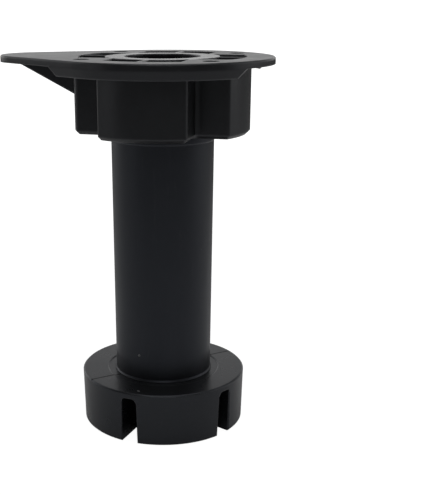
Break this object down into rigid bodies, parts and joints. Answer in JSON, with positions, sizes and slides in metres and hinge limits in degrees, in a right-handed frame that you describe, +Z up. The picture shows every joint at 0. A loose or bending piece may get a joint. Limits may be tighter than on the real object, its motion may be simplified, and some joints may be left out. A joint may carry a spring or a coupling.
{
  "type": "adjustable cabinet leg",
  "caption": "Black plastic cabinet leg: a screw-on plate with a lobed collar, a round tube, and a broad slotted foot on a screw stem that sets the height.",
  "frame": {"origin": "on the leg's axis, at the underside of the foot where it stands on the floor", "axes": "+Z up along the leg's axis to the plate; -X along the plate's tapering arm; Y across it"},
  "size_m": [0.0807, 0.064, 0.11],
  "materials": {
    "plate_plastic": "satin black moulded polypropylene",
    "tube_plastic": "fine satin black moulded polypropylene",
    "foot_plastic": "satin black moulded polypropylene"
  },
  "bodies": {
    "plate": {"mounting_plate": "plate_plastic"},
    "tube": {"leg_tube": "tube_plastic"},
    "foot": {"levelling_foot": "foot_plastic"}
  },
  "joints": [
    {"name": "tube_turn", "type": "hinge", "parent": "plate", "child": "tube", "pos_m": [0, 0, 0.09], "axis": [0, 0, 1], "range_deg": [0, 1800]},
    {"name": "foot_travel", "type": "slide", "parent": "plate", "child": "foot", "axis": [0, 0, -1], "range_m": [0, 0.025]}
  ],
  "couplings": [
    {"joint": "foot_travel", "follows": "tube_turn", "m_per_rad": 0.00079577}
  ]
}
